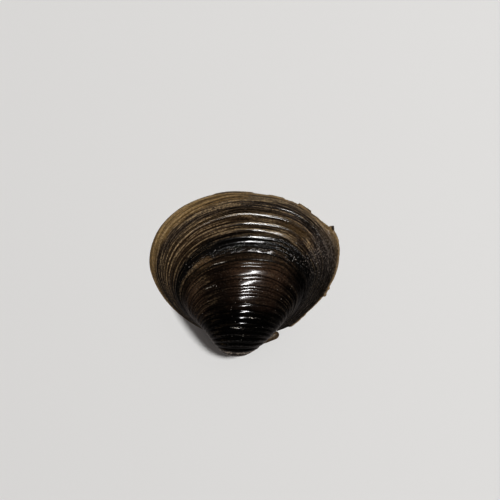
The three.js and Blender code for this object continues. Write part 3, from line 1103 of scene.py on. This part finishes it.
def skinRoughness(n, chart):
    rough = n.most(n.level(chart.zone, surface["roughness"]), n.times(chart.rough, surface["backRoughness"]))
    rough = n.plus(rough, n.range(chart.broad, *noiseSpread, *surface["broadRoughness"]))
    return n.plus(rough, n.range(chart.lines, *surface["lineNoise"], *surface["lineRoughness"]))


def skinRelief(n, chart):
    strength = n.range(chart.size, *surface["lineLines"], *surface["lineStrength"])
    lined = n.bump(chart.lines, surface["lineDepth"], strength)
    bandEnd = n.range(chart.share, *surface["crinkleEndFrom"], *surface["crinkleEnd"])
    inBand = n.range(n.minus(bandEnd, chart.zone), -surface["crinkleSoft"], surface["crinkleSoft"])
    inBand = n.times(n.range(chart.zone, *surface["crinkleLines"]), inBand)
    strength = n.blend(n.most(inBand, chart.rough), 0.0, surface["crinkleStrength"])
    crinkle = n.noise(chart.place, *skinNoise["crinkle"])
    crinkled = n.bump(crinkle, surface["crinkleDepth"], strength, lined)
    strength = n.range(chart.size, *surface["dentLines"], *surface["dentStrength"])
    dented = n.bump(n.noise(chart.place, *skinNoise["dent"]), surface["dentDepth"], strength, crinkled)
    strength = n.range(chart.size, *surface["grainLines"], *surface["grainStrength"])
    return n.bump(chart.grain, surface["grainDepth"], strength, dented)


def skinMaterial():
    n = Nodes("clamSkin")
    chart = skinChart(n)
    addLightness(n, chart)
    shade = groundShade(n, chart)
    for change in (lightShade, linedShade, rubAndReflectionShade, marksAndGlintsShade):
        shade = change(n, chart, shade)
    n.put(shade, n.shader.inputs["Base Color"])
    n.put(skinRoughness(n, chart), n.shader.inputs["Roughness"])
    n.put(skinRelief(n, chart), n.shader.inputs["Normal"])
    n.shader.inputs["IOR"].default_value = surface["refraction"]
    return n.material


# Inside of the valve, from the lip to the top of the hollow.
porcelain = {
    "lip": colour(120, 98, 66),
    "rim": colour(150, 128, 140),
    "plain": colour(226, 222, 218),
    "deep": colour(150, 126, 158),
    "wander": 0.05,        # how far the colours stray
    "cloudNoise": (160, 4, 0.55),
    "ringShade": (0.88, 0.87, 0.88, 1),  # what a dark ring leaves of the colour
    "ringNoise": (3, 3, 60),
    "ringDepth": 0.00005,
    "ringStrength": 0.3,
    "roughness": (0.16, 0.34),
    "coat": 0.3,
    "coatRoughness": 0.1,
}


def porcelainMaterial():
    n = Nodes("clamPorcelain")
    growth = n.attribute("growthMap").outputs["Vector"]
    depth = n.split(growth)[2]
    cloud = n.noise(n.place(), *porcelain["cloudNoise"])
    level = n.plus(depth, n.range(cloud, *noiseSpread, -porcelain["wander"], porcelain["wander"]))
    shade = n.ramp(n.minus(level, 1.0), [
        (0.0, porcelain["lip"]), (0.05, porcelain["lip"]), (0.09, porcelain["rim"]),
        (0.16, porcelain["plain"]), (0.45, porcelain["plain"]),
        (0.8, porcelain["deep"]), (1.0, porcelain["deep"]),
    ])
    rings = n.noise(n.stretch(growth, porcelain["ringNoise"]), detail=4)
    shade = n.tint(shade, n.ramp(rings, [(0.35, porcelain["ringShade"]), (0.65, (1, 1, 1, 1))]))
    n.put(shade, n.shader.inputs["Base Color"])
    n.put(n.range(cloud, *noiseSpread, *porcelain["roughness"]), n.shader.inputs["Roughness"])
    n.put(n.bump(rings, porcelain["ringDepth"], porcelain["ringStrength"]), n.shader.inputs["Normal"])
    n.shader.inputs["Coat Weight"].default_value = porcelain["coat"]
    n.shader.inputs["Coat Roughness"].default_value = porcelain["coatRoughness"]
    return n.material


horn = {
    "dark": colour(34, 27, 20),
    "light": colour(90, 73, 52),
    "roughness": (0.34, 0.55),
    "fibreNoise": (5, 5, 2.5),
    "bandNoise": (0.8, 0.8, 16),
    "depth": 0.0001,
    "strength": 0.5,
}


def hornMaterial():
    n = Nodes("ligamentHorn")
    growth = n.attribute("growthMap").outputs["Vector"]
    fibre = n.noise(n.stretch(growth, horn["fibreNoise"]), detail=5, roughness=0.6)
    bands = n.noise(n.stretch(growth, horn["bandNoise"]), detail=3)
    both = n.times(n.plus(fibre, bands), 0.5)
    n.put(n.ramp(both, [(0.38, horn["dark"]), (0.62, horn["light"])]), n.shader.inputs["Base Color"])
    n.put(n.range(fibre, *noiseSpread, *horn["roughness"]), n.shader.inputs["Roughness"])
    n.put(n.bump(both, horn["depth"], horn["strength"]), n.shader.inputs["Normal"])
    return n.material


valvePiece = buildValve()
valvePiece.data.materials.append(skinMaterial())
valvePiece.data.materials.append(porcelainMaterial())
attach(valvePiece, "root")
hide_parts("valve")
print("valve:", len(valvePiece.data.polygons), "faces")

ligamentPiece = buildLigament()
ligamentPiece.data.materials.append(hornMaterial())
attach(ligamentPiece, "root")
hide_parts("ligament")
print("ligament:", len(ligamentPiece.data.polygons), "faces")


# Floor, lights and camera: places and sizes in metres.
stage = {
    "floorSize": 3.0,
    "floorColour": colour(205, 205, 204),
    "floorRoughness": 0.9,
    "floorGrain": 700,
    "floorDepth": 0.00003,             # of the grain
    "floorStrength": 0.2,
    "viewCentre": (0.00091, 0.00357),  # under the middle of the picture
    "viewHeight": 0.18,
    "lens": 82.1,                      # mm, as is the sensor
    "sensor": 36,
    "nearest": 0.01,                   # what the camera can see
    "lightDistance": 1.2,
    "keyWay": (0.48, 0.14, 1.0),        # towards the light
    "keySize": (0.22, 0.22),
    "keyPower": 13.6,
    "sheenWay": (0.085, 0.12, 1.0),     # a long strip overhead
    "sheenSize": (0.07, 0.72),
    "sheenPower": 10.5,
    "skyColour": (1.0, 0.91, 0.88, 1.0),
    "ambient": 0.15,                   # brightness all round, for what isn't mirrored
    "mirroredAbove": 0.012,            # brightness that the gloss mirrors from above the horizon
    "mirroredBelow": 0.2,              # and from straight below, as from pale paper
    "mirroredBetween": (-1.0, -0.2),   # how far up the one turns into the other
}


def buildFloor():
    bm = bmesh.new()
    bmesh.ops.create_grid(bm, x_segments=1, y_segments=1, size=stage["floorSize"] / 2)
    mesh = bpy.data.meshes.new("floor")
    bm.to_mesh(mesh)
    bm.free()
    floor = bpy.data.objects.new("floor", mesh)
    bpy.context.collection.objects.link(floor)
    n = Nodes("paper")
    grain = n.noise(n.place(), stage["floorGrain"], 3)
    n.put(n.bump(grain, stage["floorDepth"], stage["floorStrength"]), n.shader.inputs["Normal"])
    n.shader.inputs["Base Color"].default_value = stage["floorColour"]
    n.shader.inputs["Roughness"].default_value = stage["floorRoughness"]
    mesh.materials.append(n.material)
    floor.visible_glossy = False  # keeps the dark flanks from mirroring the paper


def addLight(name, way, size, power):
    light = bpy.data.lights.new(name, "AREA")
    light.shape = "RECTANGLE"
    light.size, light.size_y = size
    light.energy = power
    lamp = bpy.data.objects.new(name, light)
    towards = Vector(way).normalized()
    lamp.location = towards * stage["lightDistance"]
    lamp.rotation_euler = towards.to_track_quat("Z", "Y").to_euler()
    bpy.context.collection.objects.link(lamp)
    return lamp


buildFloor()
keyLight = addLight("keyLight", stage["keyWay"], stage["keySize"], stage["keyPower"])
keyLight.visible_glossy = False  # the highlights come from a smaller lamp overhead
sheenLight = addLight("sheenLight", stage["sheenWay"], stage["sheenSize"], stage["sheenPower"])
sheenLight.visible_diffuse = False

world = bpy.data.worlds.new("studio")
world.use_nodes = True
sky = world.node_tree
way = sky.nodes.new("ShaderNodeTexCoord")
upwards = sky.nodes.new("ShaderNodeSeparateXYZ")
glow = sky.nodes.new("ShaderNodeMapRange")
glowRange = (*stage["mirroredBetween"], stage["mirroredBelow"], stage["mirroredAbove"])
for socket, value in zip(("From Min", "From Max", "To Min", "To Max"), glowRange):
    glow.inputs[socket].default_value = value
rays = sky.nodes.new("ShaderNodeLightPath")
strength = sky.nodes.new("ShaderNodeMix")  # the gloss mirrors a darker room than lights the rest
strength.inputs["A"].default_value = stage["ambient"]
sky.links.new(way.outputs["Generated"], upwards.inputs[0])
sky.links.new(upwards.outputs["Z"], glow.inputs["Value"])
sky.links.new(rays.outputs["Is Glossy Ray"], strength.inputs["Factor"])
sky.links.new(glow.outputs[0], strength.inputs["B"])
sky.links.new(strength.outputs[0], sky.nodes["Background"].inputs["Strength"])
sky.nodes["Background"].inputs["Color"].default_value = stage["skyColour"]
bpy.context.scene.world = world
bpy.context.scene.view_settings.view_transform = "Standard"
bpy.context.scene.view_settings.look = "Medium High Contrast"

cameraData = bpy.data.cameras.new("camera")
cameraData.lens = stage["lens"]
cameraData.sensor_width = stage["sensor"]
cameraData.clip_start = stage["nearest"]
camera = bpy.data.objects.new("camera", cameraData)
camera.location = (*stage["viewCentre"], stage["viewHeight"])
bpy.context.collection.objects.link(camera)
bpy.context.scene.camera = camera
print("stage: floor, two lights and camera")
